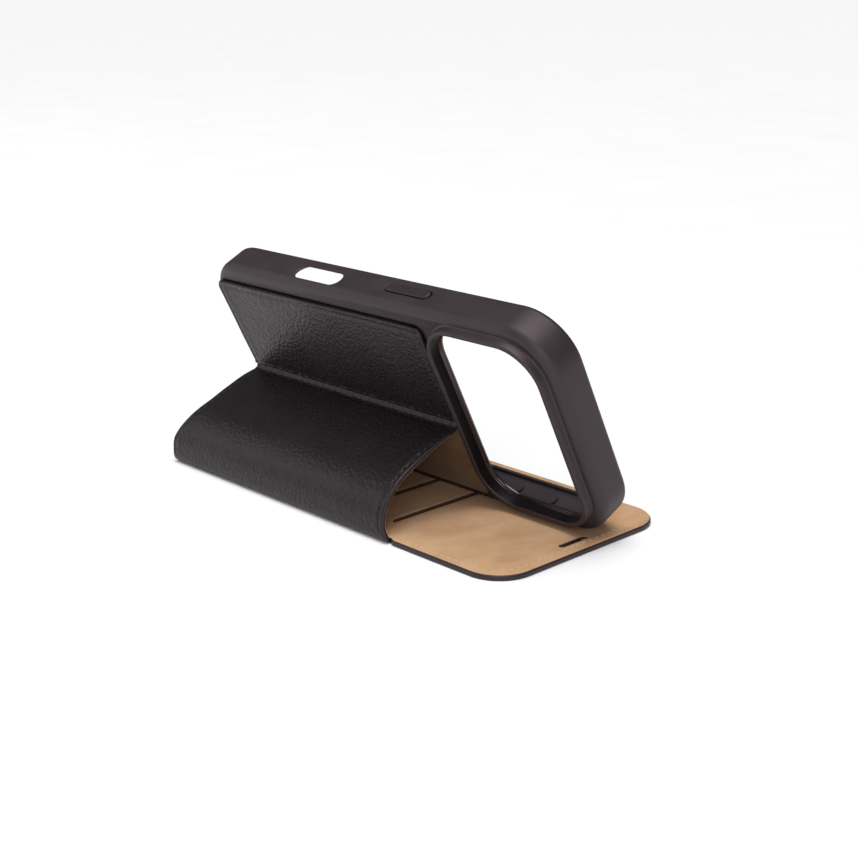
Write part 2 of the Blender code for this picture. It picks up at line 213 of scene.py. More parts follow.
def leather_material():
    """Black pebbled leather: rounded cells a little over a millimetre across, with creases."""
    n = Nodes("pebbled_leather")
    warp = n.noise(2.2, 2.0)
    shift = n.add("ShaderNodeVectorMath", operation="SCALE")
    shift.inputs["Scale"].default_value = 1.3 * MM
    n.link(warp, shift.inputs[0])
    moved = n.add("ShaderNodeVectorMath", operation="ADD")
    n.link(n.place, moved.inputs[0])
    n.link(shift.outputs[0], moved.inputs[1])
    cells = n.add("ShaderNodeTexVoronoi", feature="SMOOTH_F1")
    cells.inputs["Scale"].default_value = 1.0 / (1.25 * MM)
    cells.inputs["Smoothness"].default_value = 0.35
    cells.inputs["Randomness"].default_value = 0.95
    n.link(moved.outputs[0], cells.inputs["Vector"])
    pebble = n.ramp(cells.outputs["Distance"], ((0.15, 1.0), (0.75, 0.0)))
    creases = n.noise(4.5, 3.0, 0.6)
    fine = n.noise(0.22, 2.0)
    depth = n.math("ADD", n.math("MULTIPLY", pebble, 0.8), n.math("MULTIPLY", creases, 0.5))
    normal = n.bump(fine, 0.015, 0.4, n.bump(depth, 0.2, 0.6))
    patches = n.noise(16.0, 3.0)
    tint = n.ramp(patches, ((0.3, (0.0045, 0.0034, 0.004)), (0.7, (0.0065, 0.005, 0.0058))))
    polish = n.math("ADD", n.math("MULTIPLY", pebble, -0.07), n.math("MULTIPLY", patches, 0.1))
    n.set(Specular_IOR_Level=0.36, Specular_Tint=WARM)
    return n.finish(tint, n.math("ADD", polish, 0.36), normal)


def edge_material():
    """Painted leather edge: smooth, with a slow ripple and small dull spots."""
    n = Nodes("painted_edge")
    ripple = n.noise(3.0, 2.0)
    normal = n.bump(ripple, 0.12, 0.5)
    spots = n.noise(0.8, 3.0)
    tint = n.ramp(spots, ((0.3, (0.008, 0.006, 0.007)), (0.8, (0.012, 0.009, 0.0105))))
    n.set(Specular_IOR_Level=0.5, Specular_Tint=WARM)
    return n.finish(tint, n.math("ADD", n.math("MULTIPLY", spots, 0.2), 0.34), normal)


def suede_material(name, shade=1.0):
    """Tan microsuede: short nap with soft brushed patches, lighter where it leans away."""
    # shade below 1 darkens the whole colour; the darker copies made with it carry painted shade
    n = Nodes(name)
    brushed = n.noise(11.0, 3.0, 0.55, (1.0, 0.6, 1.0))
    cloudy = n.noise(34.0, 2.0)
    nap = n.noise(0.35, 3.0, 0.7)
    mix = n.math("ADD", n.math("MULTIPLY", brushed, 0.6), n.math("MULTIPLY", cloudy, 0.3))
    mix = n.math("ADD", mix, n.math("MULTIPLY", nap, 0.1))
    dark, middle, light = ((0.40, 0.228, 0.122), (0.485, 0.292, 0.163), (0.56, 0.36, 0.212))
    tint = n.ramp(mix, ((0.36, tuple(c * shade for c in dark)),
                        (0.5, tuple(c * shade for c in middle)),
                        (0.66, tuple(c * shade for c in light))))
    normal = n.bump(nap, 0.06, 0.8, n.bump(brushed, 0.4, 0.25))
    n.set(Specular_IOR_Level=0.15, Sheen_Weight=0.25, Sheen_Roughness=0.45,
          Sheen_Tint=(0.75, 0.58, 0.42, 1.0))
    return n.finish(tint, n.math("ADD", n.math("MULTIPLY", nap, 0.1), 0.86), normal)


def tray_material():
    """Soft-touch moulded rubber, matte, with a spark-eroded texture and faint handling marks."""
    n = Nodes("soft_touch_black")
    grain = n.noise(0.16, 2.0)
    marks = n.noise(9.0, 4.0, 0.6)
    tint = n.ramp(marks, ((0.3, (0.0165, 0.012, 0.014)), (0.7, (0.022, 0.0165, 0.019))))
    normal = n.bump(grain, 0.02, 0.35, n.bump(marks, 0.12, 0.12))
    n.set(Specular_IOR_Level=0.5, Specular_Tint=WARM)
    return n.finish(tint, n.math("ADD", n.math("MULTIPLY", marks, 0.14), 0.44), normal)


def key_material():
    n = Nodes("moulded_key")
    grain = n.noise(0.14, 2.0)
    wear = n.noise(2.5, 3.0)
    tint = n.ramp(wear, ((0.3, (0.0125, 0.0092, 0.0105)), (0.75, (0.017, 0.013, 0.0145))))
    n.set(Specular_Tint=WARM)
    return n.finish(tint, n.math("ADD", n.math("MULTIPLY", wear, 0.12), 0.42),
                    n.bump(grain, 0.02, 0.3))


def well_material(name, gloss, rough):
    """Black moulded plastic with a very slight flow ripple and a trace of dust; its black is about a third as
    light as the tray's, painted shade inside the camera well.
    """
    n = Nodes(name)
    flow = n.noise(5.0, 2.0)
    dust = n.noise(0.5, 3.0, 0.7)
    tint = n.ramp(flow, ((0.3, (0.005, 0.0038, 0.0042)), (0.7, (0.0075, 0.0058, 0.0063))))
    n.set(Specular_IOR_Level=gloss, Specular_Tint=WARM)
    return n.finish(tint, n.math("ADD", n.math("MULTIPLY", dust, 0.16), rough),
                    n.bump(flow, 0.1, 0.25))


def thread_material(name, dark, light, roughness):
    """Twisted thread: fine slanting strands."""
    n = Nodes(name)
    twist = n.add("ShaderNodeTexWave", wave_type="BANDS", bands_direction="DIAGONAL")
    twist.inputs["Scale"].default_value = 0.5 / (0.35 * MM)
    twist.inputs["Distortion"].default_value = 1.0
    n.link(n.place, twist.inputs["Vector"])
    tint = n.ramp(twist.outputs["Fac"], ((0.2, dark), (0.8, light)))
    rough = n.math("ADD", n.math("MULTIPLY", twist.outputs["Fac"], 0.1), roughness)
    return n.finish(tint, rough, n.bump(twist.outputs["Fac"], 0.05, 0.6))


def board_material():
    """Grey-brown fibre board with long flecks."""
    n = Nodes("fibre_board")
    fleck = n.noise(0.7, 4.0, 0.65, (0.3, 1.0, 1.0))
    tint = n.ramp(fleck, ((0.3, (0.25, 0.2, 0.155)), (0.7, (0.42, 0.36, 0.29))))
    return n.finish(tint, n.math("ADD", n.math("MULTIPLY", fleck, 0.1), 0.8),
                    n.bump(fleck, 0.08, 0.6))


def cloth_material():
    """Thin woven pocket lining: a plain weave of crossing threads."""
    n = Nodes("pocket_weave")
    threads = []
    for direction in ("X", "Y"):
        wave = n.add("ShaderNodeTexWave", wave_type="BANDS", bands_direction=direction)
        wave.inputs["Scale"].default_value = 0.5 / (0.4 * MM)
        wave.inputs["Distortion"].default_value = 0.4
        n.link(n.place, wave.inputs["Vector"])
        threads.append(wave.outputs["Fac"])
    weave = n.math("MAXIMUM", *threads)
    tint = n.ramp(weave, ((0.2, (0.055, 0.032, 0.02)), (0.9, (0.16, 0.1, 0.062))))
    return n.finish(tint, n.math("ADD", n.math("MULTIPLY", weave, 0.1), 0.82),
                    n.bump(weave, 0.08, 0.7))


WARM = (1.0, 0.82, 0.9, 1.0)       # the black finishes reflect a little warm

LEATHER = leather_material()
EDGE = edge_material()
SUEDE = suede_material("tan_microsuede")
TRAY = tray_material()
KEY = key_material()
# the well's darker black is painted shade inside the camera well
PAINTED_SHADE_WELL = well_material("camera_well_painted_shade", 0.08, 0.3)
LIP_GLOSS = well_material("polished_lip", 0.8, 0.12)
DARK_THREAD = thread_material("black_thread", (0.008, 0.007, 0.007), (0.03, 0.026, 0.027), 0.5)
PALE_THREAD = thread_material("cream_thread", (0.42, 0.29, 0.18), (0.72, 0.55, 0.38), 0.7)
# the backing's suede, darkened to 0.27: painted shade on the tray's back, which faces down under the tray
PAINTED_SHADE_SUEDE = suede_material("painted_shade_microsuede", 0.27)
# the pocket's cut edge: the suede darkened to 0.13, partly the edge's own darker tone, partly painted shade of the
# step
POCKET_EDGE_TONE_AND_SHADE = suede_material("pocket_cut_edge_and_shade", 0.13)
BOARD = board_material()
CLOTH = cloth_material()


# ---- mesh building ------------------------------------------------------------------------
def make_object(name, points, faces, looks, smooth=35.0):
    """A mesh object from points in millimetres; looks is one material or several."""
    mesh = bpy.data.meshes.new(name)
    mesh.from_pydata((np.asarray(points, float) * MM).tolist(), [], faces)
    made = bpy.data.objects.new(name, mesh)
    bpy.context.scene.collection.objects.link(made)
    for look in looks if isinstance(looks, (list, tuple)) else (looks,):
        mesh.materials.append(look)
    mesh.shade_smooth()
    mesh.set_sharp_from_angle(angle=math.radians(smooth))
    return made


def loft(name, loops, looks, closed=False, smooth=35.0):
    """A solid skinned over rings of equal length; closed joins the last ring to the first."""
    rings = np.asarray(loops, float)
    count, around = rings.shape[:2]
    faces = []
    for ring in range(count if closed else count - 1):
        low, high = ring * around, (ring + 1) % count * around
        for k in range(around):
            after = (k + 1) % around
            faces.append((low + k, low + after, high + after, high + k))
    if not closed:
        faces.append(tuple(range(around))[::-1])
        faces.append(tuple(range((count - 1) * around, count * around)))
    points = rings.reshape(-1, 3)
    if enclosed(points - points.mean(axis=0), faces) < 0:
        faces = [face[::-1] for face in faces]
    return make_object(name, points, faces, looks, smooth)


def enclosed(points, faces):
    """Six times the volume inside the faces; it is below zero when they face inwards."""
    total = 0.0
    for face in faces:
        first, *others = (points[k] for k in face)
        for a, b in zip(others, others[1:]):
            total += float(np.dot(first, np.cross(a, b)))
    return total


WELD = 0.003                       # points that a cut leaves closer than this are joined
SLIVER = 0.001


def cut(target, cutter):
    """Cuts a shape out of a piece now, and welds it so that the next cut meets a closed mesh."""
    boolean = target.modifiers.new("cut", "BOOLEAN")
    boolean.operation = "DIFFERENCE"
    boolean.solver = "EXACT"
    boolean.object = cutter
    bpy.context.view_layer.update()
    graph = bpy.context.evaluated_depsgraph_get()
    mesh = bpy.data.meshes.new_from_object(target.evaluated_get(graph))
    welded = bmesh.new()
    welded.from_mesh(mesh)
    bmesh.ops.remove_doubles(welded, verts=welded.verts, dist=WELD * MM)
    bmesh.ops.dissolve_degenerate(welded, edges=welded.edges, dist=SLIVER * MM)
    welded.to_mesh(mesh)
    welded.free()
    target.modifiers.clear()
    target.data = mesh
    bpy.data.objects.remove(cutter, do_unlink=True)


def sharpen(piece, angle=35.0):
    piece.data.shade_smooth()
    piece.data.set_sharp_from_angle(angle=math.radians(angle))


def arc(centre, radius, start, end, steps):
    """Points on an arc, with its angles in degrees."""
    angles = np.radians(np.linspace(start, end, steps + 1))
    return [(centre[0] + radius * math.cos(a), centre[1] + radius * math.sin(a)) for a in angles]


def outline(x0, y0, x1, y1, radius, turn=14, side=6):
    """A rounded rectangle's points, anticlockwise, with the same count for any size."""
    corners = (((x1 - radius, y0 + radius), -90), ((x1 - radius, y1 - radius), 0),
               ((x0 + radius, y1 - radius), 90), ((x0 + radius, y0 + radius), 180))
    points = []
    for centre, start in corners:
        points += arc(centre, radius, start, start + 90, turn)
    filled = []
    for index, point in enumerate(points):
        filled.append(point)
        if index % (turn + 1) == turn:
            after = points[(index + 1) % len(points)]
            for step in range(1, side):
                t = step / side
                filled.append((point[0] + (after[0] - point[0]) * t,
                               point[1] + (after[1] - point[1]) * t))
    return filled


def shrink(points, inset):
    """A closed outline moved inwards; it runs anticlockwise."""
    p = np.asarray(points, float)
    along = np.roll(p, -1, 0) - np.roll(p, 1, 0)
    along /= np.linalg.norm(along, axis=1)[:, None]
    return p + np.stack([-along[:, 1], along[:, 0]], 1) * inset


# ---- the tray -----------------------------------------------------------------------------
def tray_ring(inset, deep):
    points = outline(inset, inset, TRAY_LENGTH - inset, TRAY_WIDTH - inset, TRAY_CORNER - inset)
    return [tray_point(x, v, deep) for x, v in points]


def window_ring(outset, deep):
    x0, v0, x1, v1 = WINDOW
    points = outline(x0 - outset, v0 - outset, x1 + outset, v1 + outset, WINDOW_CORNER + outset)
    return [tray_point(x, v, deep) for x, v in points]


def slot_ring(length, width, radius, place, along, across, out, lift):
    """A slot's ring about a place, in a plane given by two directions, lifted along a third."""
    half, wide = length / 2, width / 2
    points = outline(-half, -wide, half, wide, radius, 8, 4)
    return [place + along * a + across * b + out * lift for a, b in points]


def slot_cutter(length, width, radius, place, along, across, out, soft, deep):
    """A straight hole whose mouth opens out in a quarter round of radius soft."""
    rings = [slot_ring(length, width, radius, place, along, across, out, -deep)]
    steps = 4
    for step in range(steps + 1):
        a = math.pi / 2 * step / steps
        grow = soft * (1 - math.cos(a))
        rings.append(slot_ring(length + 2 * grow, width + 2 * grow, radius + grow, place,
                               along, across, out, soft * math.sin(a) - soft))
    rings.append(slot_ring(length + 2 * soft, width + 2 * soft, radius + soft, place,
                           along, across, out, 2.0))
    return loft("cutter", rings, TRAY)


SCOOP_DEEPER, SCOOP_ASIDE = 1.2, 1.5


def control_cutter(length, width, place, x_way):
    """A pill with a soft brim; the wall behind it is cut wider, deeper and to one side."""
    stages = ((1.1, -3.6, 1.0), (1.1, -WALL, 1.0), (0.1, -0.5, 0.0), (0.0, -0.4, 0.0),
              (0.05, -0.2, 0.0), (0.2, -0.05, 0.0), (0.45, 0.0, 0.0), (0.45, 2.0, 0.0))
    rings = []
    for grow, lift, aside in stages:
        centre = place + INTO * SCOOP_DEEPER * aside - x_way * SCOOP_ASIDE * aside
        rings.append(slot_ring(length + 2 * grow, width + 2 * grow, CONTROL_CORNER + grow - 0.01,
                               centre, x_way, INTO, UP, lift))
    return loft("cutter", rings, TRAY)


def build_tray():
    hole = RIM_WIDTH + GAP / 2
    soft = 0.35
    rings = [window_ring(hole, BACK - soft), window_ring(hole, soft)]
    rings += [window_ring(hole + soft - soft * math.sin(a), soft - soft * math.cos(a))
              for a in (math.pi / 2, math.pi / 4, 0)][1:]
    rings[-1] = window_ring(hole + soft, 0.0)
    section = [(BACK_ROUND - BACK_ROUND * math.sin(a), BACK_ROUND - BACK_ROUND * math.cos(a))
               for a in np.linspace(0, math.pi / 2, 11)]
    section += [(FRONT_ROUND - FRONT_ROUND * math.cos(a),
                 TRAY_DEPTH - FRONT_ROUND + FRONT_ROUND * math.sin(a))
                for a in np.linspace(0, math.pi / 2, 9)]
    reach, under = WALL + LIP, TRAY_DEPTH - LIP
    section += [(reach - 0.5 + 0.5 * math.sin(a), TRAY_DEPTH - 0.5 + 0.5 * math.cos(a))
                for a in np.linspace(0, math.pi / 2, 5)]
    section += [(reach, under + 0.25), (reach - 0.25, under), (WALL + 0.3, under - 0.05),
                (WALL, under - 0.5), (WALL, BACK + 1.0), (WALL + 0.3, BACK + 0.3),
                (WALL + 1.0, BACK)]
    rings += [tray_ring(inset, deep) for inset, deep in section]
    rings += [window_ring(hole + soft, BACK)]
    tray = loft("soft_tray", rings, TRAY, closed=True)
    x_way = Vector((1.0, 0.0, 0.0))
    x0, x1, d0, d1 = CONTROL
    place = tray_point((x0 + x1) / 2, TRAY_WIDTH, (d0 + d1) / 2)
    cut(tray, control_cutter(x1 - x0, d1 - d0, place, x_way))
    for _, centre, length, side in KEYS:
        wall = TRAY_WIDTH if side > 0 else 0.0
        place = tray_point(centre, wall, KEY_DEEP)
        wide = BUTTON_WIDTH + 2 * GAP
        cut(tray, slot_cutter(length + 2 * GAP, wide, wide / 2 - 0.01, place, x_way, INTO,
                              UP * side, 0.25, WALL + 1.2))
    middle = BACK + 8.85 / 2
    for offset, length, width in ((0.0, 15.0, 6.6), (-19.0, 11.0, 2.4), (19.0, 11.0, 2.4)):
        place = tray_point(0.0, TRAY_WIDTH / 2 + offset, middle)
        cut(tray, slot_cutter(length, width, width / 2 - 0.01, place, UP, INTO, -x_way, 0.4,
                              WALL + 1.5))
    recess = outline(PANEL_LEFT - TRAY_X0 - GAP, PANEL_LOW - GAP, PANEL_RIGHT - TRAY_X0 + GAP,
                     PANEL_TOP + GAP, PANEL_CORNER + GAP)
    levels = ((0.0, 0.5), (0.0, 0.15), (0.05, 0.05), (0.15, 0.0), (0.15, -1.0))
    rings = [[tray_point(x, v, deep) for x, v in shrink(recess, -grow)]
             for grow, deep in levels]
    cut(tray, loft("cutter", rings, TRAY))
    sharpen(tray)
    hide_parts("tray_shell")
    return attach(tray, "tray")


def build_camera_rim():
    """A tall collar round the cameras, with a soft foot outside and a step inside its well."""
    soft = 0.5
    foot = 2.35
    section = [(-0.1, BACK), (RIM_WIDTH, BACK), (RIM_WIDTH, 0.0), (foot, -0.01), (foot, -0.03)]
    section += [(foot - 0.75 * math.sin(a), -0.03 - 0.8 * (1 - math.cos(a)))
                for a in np.linspace(0, math.pi / 2, 6)][1:]
    low = RIM_PROUD - soft
    section += [(RIM_WIDTH + 0.1 - soft + soft * math.cos(a), -low - soft * math.sin(a))
                for a in np.linspace(0, math.pi / 2, 6)]
    section += [(soft - soft * math.sin(a), -low - soft * math.cos(a))
                for a in np.linspace(0, math.pi / 2, 6)]
    section += [(0.0, 0.9), (-0.12, 1.1), (-0.5, 1.25), (-0.68, 1.4), (-0.7, BACK - 0.25)]
    section += [(-0.6, BACK)]
    rim = loft("camera_collar", [window_ring(*spot) for spot in section], [PAINTED_SHADE_WELL, TRAY, LIP_GLOSS],
               closed=True, smooth=50.0)
    middle = tray_point((WINDOW[0] + WINDOW[2]) / 2, (WINDOW[1] + WINDOW[3]) / 2, 0.0)
    edge_faces(rim, 1, lambda centre, normal: faces_away(centre, normal, middle))
    edge_faces(rim, 2, lambda centre, normal: (centre - FOOT).dot(INTO) > 0.95)
    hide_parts("camera_rim")
    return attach(rim, "tray")


def faces_away(centre, normal, middle):
    """Whether a face is on the collar's outer side or its crest."""
    lifted = -(centre - FOOT).dot(INTO) > RIM_PROUD - 0.6
    return lifted or (centre - middle).dot(normal) > 0.3


def build_key(name, centre, length, side):
    """A pill-shaped key, crowned a little, on a flange inside the wall."""
    x_way = Vector((1.0, 0.0, 0.0))
    place = tray_point(centre, TRAY_WIDTH if side > 0 else 0.0, KEY_DEEP)
    under = -WALL - GAP / 2
    section = [(0.9, under - 0.5), (0.9, under), (0.0, under), (0.0, KEY_PROUD - 0.45)]
    section += [(-0.5 + 0.5 * math.cos(a), KEY_PROUD - 0.45 + 0.45 * math.sin(a))
                for a in np.linspace(0, math.pi / 2, 6)][1:]
    section += [(-1.2, KEY_PROUD + 0.06)]
    rings = []
    for grow, lift in section:
        wide = BUTTON_WIDTH + 2 * grow
        rings.append(slot_ring(length + 2 * grow, wide, wide / 2 - 0.01, place, x_way, INTO,
                               UP * side, lift))
    key = loft(name.replace("_button", "_key"), rings, KEY)
    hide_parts(name)
    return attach(key, name)


KEY_DEEP = 6.8
KEY_PROUD = 0.45
KEYS = (("power_button", 95.6, 18.6, 1), ("action_button", 122.2, 7.6, -1),
        ("volume_up_button", 106.2, 10.4, -1), ("volume_down_button", 92.2, 10.4, -1))


# ---- the leather's section ----------------------------------------------------------------
def smooth_path(points, steps):
    ends = [2 * points[0] - points[1], *points, 2 * points[-1] - points[-2]]
    path = []
    for a, b, c, d in zip(ends, ends[1:], ends[2:], ends[3:]):
        for step in range(steps):
            t = step / steps
            path.append(0.5 * (2 * b + (c - a) * t + (2 * a - 5 * b + 4 * c - d) * t ** 2
                               + (3 * b - a - 3 * c + d) * t ** 3))
    path.append(points[-1])
    return np.array(path)


class Skin:
    """The leather's outer face, from under the cover fold up to the top of the back panel."""

    STEP = 0.25

    def __init__(self):
        curl = [np.array(p) + np.array(CURL_ORIGIN) for p in CURL]
        crease = np.array((CREASE.y, CREASE.z))
        path = smooth_path([*curl, crease], 24)
        under = [path[0] + np.array((d, 0.0)) for d in (3.0, 2.0, 1.0)]
        top = tray_point(0.0, PANEL_TOP, -PROUD)
        whole = np.array([*under, *path, np.array((top.y, top.z))])
        walked = self.lengths(whole)
        count = int(walked[-1] / self.STEP) + 1
        self.s = np.linspace(0.0, walked[-1], count)
        self.p = np.stack([np.interp(self.s, walked, whole[:, k]) for k in (0, 1)], 1)
        self.crease = self.s[np.argmin(np.linalg.norm(self.p - crease, axis=1))]
        self.soften()
        self.s = self.lengths(self.p)
        self.total = self.s[-1]
        fold = np.array((FLAP_FOLD.y, FLAP_FOLD.z))
        self.flap_fold = self.s[np.argmin(np.linalg.norm(self.p - fold, axis=1))]
        self.table = self.s[np.argmin(np.linalg.norm(self.p - curl[1], axis=1))]
        along = np.gradient(self.p, axis=0)
        along /= np.linalg.norm(along, axis=1)[:, None]
        self.out = np.stack([-along[:, 1], along[:, 0]], 1)
        self.lefts = self.left_ends()

    def left_ends(self):
        """The leather widens from the flap down to the cover; the back panel is narrower."""
        keys = (WIDE_BELOW, NARROW_ABOVE, CREASE.z - 1.6, CREASE.z)
        ends = (COVER_LOW.x - 0.7, TRAY_X0 + FLAP_X0, TRAY_X0 + FLAP_X0 + 0.8, PANEL_LEFT)
        raw = np.where(self.s < self.crease, np.interp(self.p[:, 1], keys, ends), PANEL_LEFT)
        width = 17
        padded = np.pad(raw, width // 2, mode="edge")
        return np.convolve(padded, np.ones(width) / width, mode="valid")

    @staticmethod
    def lengths(path):
        steps = np.linalg.norm(np.diff(path, axis=0), axis=1)
        return np.concatenate([[0.0], np.cumsum(steps)])

    def soften(self):
        """Rounds the crease and the turn onto the table by repeated averaging."""
        table = self.s[np.argmin(np.linalg.norm(self.p - np.array(CURL[0]) - CURL_ORIGIN, axis=1))]
        for _ in range(14):
            near = np.exp(-((self.s - self.crease) / 1.8) ** 2)
            near = np.maximum(near, np.exp(-((self.s - table) / 1.2) ** 2))
            middle = self.p.copy()
            middle[1:-1] = (self.p[:-2] + self.p[2:]) / 2
            self.p += (middle - self.p) * near[:, None]
        self.p[:, 1] = np.maximum(self.p[:, 1], 0.0)

    def at(self, s):
        """The outer face's (Y, Z) and its outward direction at a distance along the path."""
        point = np.array([np.interp(s, self.s, self.p[:, k]) for k in (0, 1)])
        out = np.array([np.interp(s, self.s, self.out[:, k]) for k in (0, 1)])
        return point, out / np.linalg.norm(out)

    def left(self, s):
        return float(np.interp(s, self.s, self.lefts))

    def right(self, s):
        """The curl's right end flares a little where it runs out into the cover's edge."""
        flare = 1.3 * math.exp(-((s - self.table) / 2.2) ** 2) if s > self.table else 1.3
        return PANEL_RIGHT + (flare if s < self.flap_fold else 0.0)

    def place(self, x, s, lift=0.0):
        point, out = self.at(s)
        return Vector((x, *(point + out * lift)))


SKIN = Skin()
STITCH_INSET = 1.7
CREASE_SEAM = SKIN.crease - 2.2          # where the panel's leather ends, past the crease
SPINE_LOW = SKIN.table + 0.6


def ripple(x, y, size, seed=0.0):
    return noise.noise(Vector((x / size, y / size, seed)))


def panel_relief(x, s):
    """Height of the leather's face over its path: sewn edges, a pinched crease, soft waves."""
    lift = 0.10 * ripple(x, s, 14.0)
    side = min(x - SKIN.left(s), SKIN.right(s) - x)
    lift -= 0.20 * math.exp(-((side - STITCH_INSET) / 0.5) ** 2)
    lift += 0.10 * math.exp(-((side - STITCH_INSET - 1.6) / 1.1) ** 2)
    to_top = SKIN.total - s
    lift -= 0.20 * math.exp(-((to_top - STITCH_INSET) / 0.5) ** 2)
    above = s - SKIN.crease
    wave = 1.0 + 1.4 * ripple(x, 0.0, 1.8, 3.0)
    lift += 0.20 * wave * math.exp(-((above - 1.5) / 0.5) ** 2)
    lift -= 0.42 * math.exp(-((above - 0.55) / 0.3) ** 2)
    lift += 0.07 * wave * math.exp(-((above + 1.0) / 0.5) ** 2)
    lift += 0.16 * ripple(x, s * 0.35, 1.5, 5.0) * math.exp(-(above / 2.4) ** 2)
    return lift


def band(name, stations, looks, relief=None, edge=0.5, columns=150):
    """A closed sheet over stations of (s, left, right, lift, thickness), with rounded sides."""
    rings = []
    for s, left, right, lift, thick in stations:
        point, out = SKIN.at(s)
        radius = min(edge * thick, 0.5 * thick)
        xs = np.linspace(left + radius, right - radius, columns)
        outer = [(x, lift + (relief(x, s) if relief else 0.0)) for x in xs]
        inner = [(x, lift - thick) for x in xs[::-1]]
        right_side = arc((right - radius, -radius), radius, 90, 0, 3)[1:]
        right_side += arc((right - radius, radius - thick), radius, 0, -90, 3)[:-1]
        left_side = arc((left + radius, radius - thick), radius, -90, -180, 3)[1:]
        left_side += arc((left + radius, -radius), radius, 180, 90, 3)[:-1]
        end_lift, start_lift = outer[-1][1], outer[0][1]
        right_side = [(x, h + end_lift * (1 + h / thick)) for x, h in right_side]
        left_side = [(x, h + start_lift * (1 + h / thick)) for x, h in left_side]
        section = outer + right_side + inner + left_side
        rings.append([(x, *(point + out * h)) for x, h in section])
    return loft(name, rings, looks)


def edge_faces(piece, slot_index, test):
    """Gives the faces whose centre passes a test, in millimetres, another material slot."""
    for face in piece.data.polygons:
        if test(face.center / MM, face.normal):
            face.material_index = slot_index


def side_faces(piece, least=0.6):
    """The painted edges: faces that look along X."""
    edge_faces(piece, 1, lambda centre, normal: abs(normal.x) > least)


def build_back_panel():
    """The padded panel above the crease, running over the crease onto the flap."""
    stations = []
    low, top = CREASE_SEAM, SKIN.total
    marks = list(np.arange(low, SKIN.crease + 4.0, 0.25))
    marks += list(np.arange(marks[-1] + 0.6, top - PANEL_CORNER - 0.2, 0.7))
    radius = 0.55
    for s in marks:
        thick = FLAP_EDGE + (PANEL_EDGE - FLAP_EDGE) * min(1, max(0, (s - SKIN.crease) / 2.0))
        stations.append((s, SKIN.left(s), PANEL_RIGHT, 0.0, thick))
    for a in np.linspace(0, math.pi / 2, 9):
        inset = PANEL_CORNER * (1 - math.cos(a))
        s = top - PANEL_CORNER + PANEL_CORNER * math.sin(a)
        if s < top - radius:
            stations.append((s, PANEL_LEFT + inset, PANEL_RIGHT - inset, 0.0, PANEL_EDGE))
    for a in np.linspace(0, math.pi / 2, 6):
        s = top - radius + radius * math.sin(a)
        drop = radius * (1 - math.cos(a))
        height = top - PANEL_CORNER
        inset = PANEL_CORNER * (1 - math.sqrt(max(0.0, 1 - ((s - height) / PANEL_CORNER) ** 2)))
        stations.append((s, PANEL_LEFT + inset, PANEL_RIGHT - inset, -drop,
                         PANEL_EDGE - drop))
    panel = band("back_panel", stations, [LEATHER, EDGE], panel_relief, 0.4, 190)
    side_faces(panel)
    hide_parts("panel_leather")
    start = SKIN.place(0.0, SKIN.crease - 2.0)
    end = SKIN.place(0.0, SKIN.crease + 2.0)
    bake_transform(panel)
    return panel


def curl_thick(s):
    share = min(1.0, max(0.0, (s - SKIN.flap_fold) / (CREASE_SEAM - SKIN.flap_fold)))
    return CURL_EDGE + (FLAP_EDGE - CURL_EDGE) * share


def curl_relief(x, s):
    low = 0.12 * ripple(x, s * 1.4, 18.0) + 0.04 * ripple(x, s, 5.0, 2.0)
    side = min(x - SKIN.left(s), SKIN.right(s) - x)
    low -= 0.18 * math.exp(-((side - STITCH_INSET) / 0.5) ** 2)
    low += 0.08 * math.exp(-((side - STITCH_INSET - 1.6) / 1.1) ** 2)
    above = s - SKIN.crease
    wave = 1.0 + 1.4 * ripple(x, 0.0, 1.8, 3.0)
    low += 0.07 * wave * math.exp(-((above + 1.0) / 0.5) ** 2)
    low += 0.16 * ripple(x, s * 0.35, 1.5, 5.0) * math.exp(-(above / 2.4) ** 2)
    ends = min(1.0, max(0.0, (s - SPINE_LOW) / 1.5))
    return low * ends


def build_curl():
    """The leather of the spine and the flap in one sheet, its ends meeting its neighbours."""
    marks = np.arange(SPINE_LOW, CREASE_SEAM, 0.55).tolist() + [CREASE_SEAM]
    stations = [(s, SKIN.left(s), SKIN.right(s), 0.0, curl_thick(s)) for s in marks]
    curl = band("curl_leather", stations, [LEATHER, EDGE], curl_relief, 0.45, 190)
    side_faces(curl)
    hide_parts("spine_leather", "flap_leather")
    start, end = (SKIN.place(0.0, SKIN.flap_fold + d) for d in (-4.0, 4.0))
    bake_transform(curl)
    return curl


def build_curl_lining():
    """Tan microsuede inside the curl, short of the painted edges."""
    inset = 0.5
    marks = np.arange(SPINE_LOW + 0.3, SKIN.crease - 2.8, 0.7)
    stations = []
    for s in marks:
        thick = curl_thick(s)
        stations.append((s, SKIN.left(s) + inset, SKIN.right(s) - inset, 0.1 - thick, 0.45))
    lining = band("curl_lining", stations, SUEDE, None, 0.45, 90)
    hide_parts("spine_lining", "flap_lining")
    start, end = (SKIN.place(0.0, SKIN.flap_fold + d) for d in (-4.0, 4.0))
    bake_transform(lining)
    return lining


def build_fold():
    """The soft fold between the cover's edge and the spine, leather outside and suede inside."""
    marks = np.arange(0.6, SPINE_LOW + 0.01, 0.3).tolist() + [SPINE_LOW]
    stations = [(s, SKIN.left(s), SKIN.right(s), 0.0, CURL_EDGE) for s in marks]
    fold = band("cover_fold_leather", stations, [LEATHER, EDGE], None, 0.45, 60)
    side_faces(fold)
    inner = [(s, SKIN.left(s) + 0.5, SKIN.right(s) - 0.5, 0.1 - CURL_EDGE, 0.45) for s in marks]
    lining = band("cover_fold_lining", inner, SUEDE, None, 0.45, 60)
    start, end = SKIN.place(0.0, 1.2), SKIN.place(0.0, SPINE_LOW)
    for piece, slot_name in ((fold, "leather"), (lining, "microsuede")):
        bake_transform(piece)
    return fold


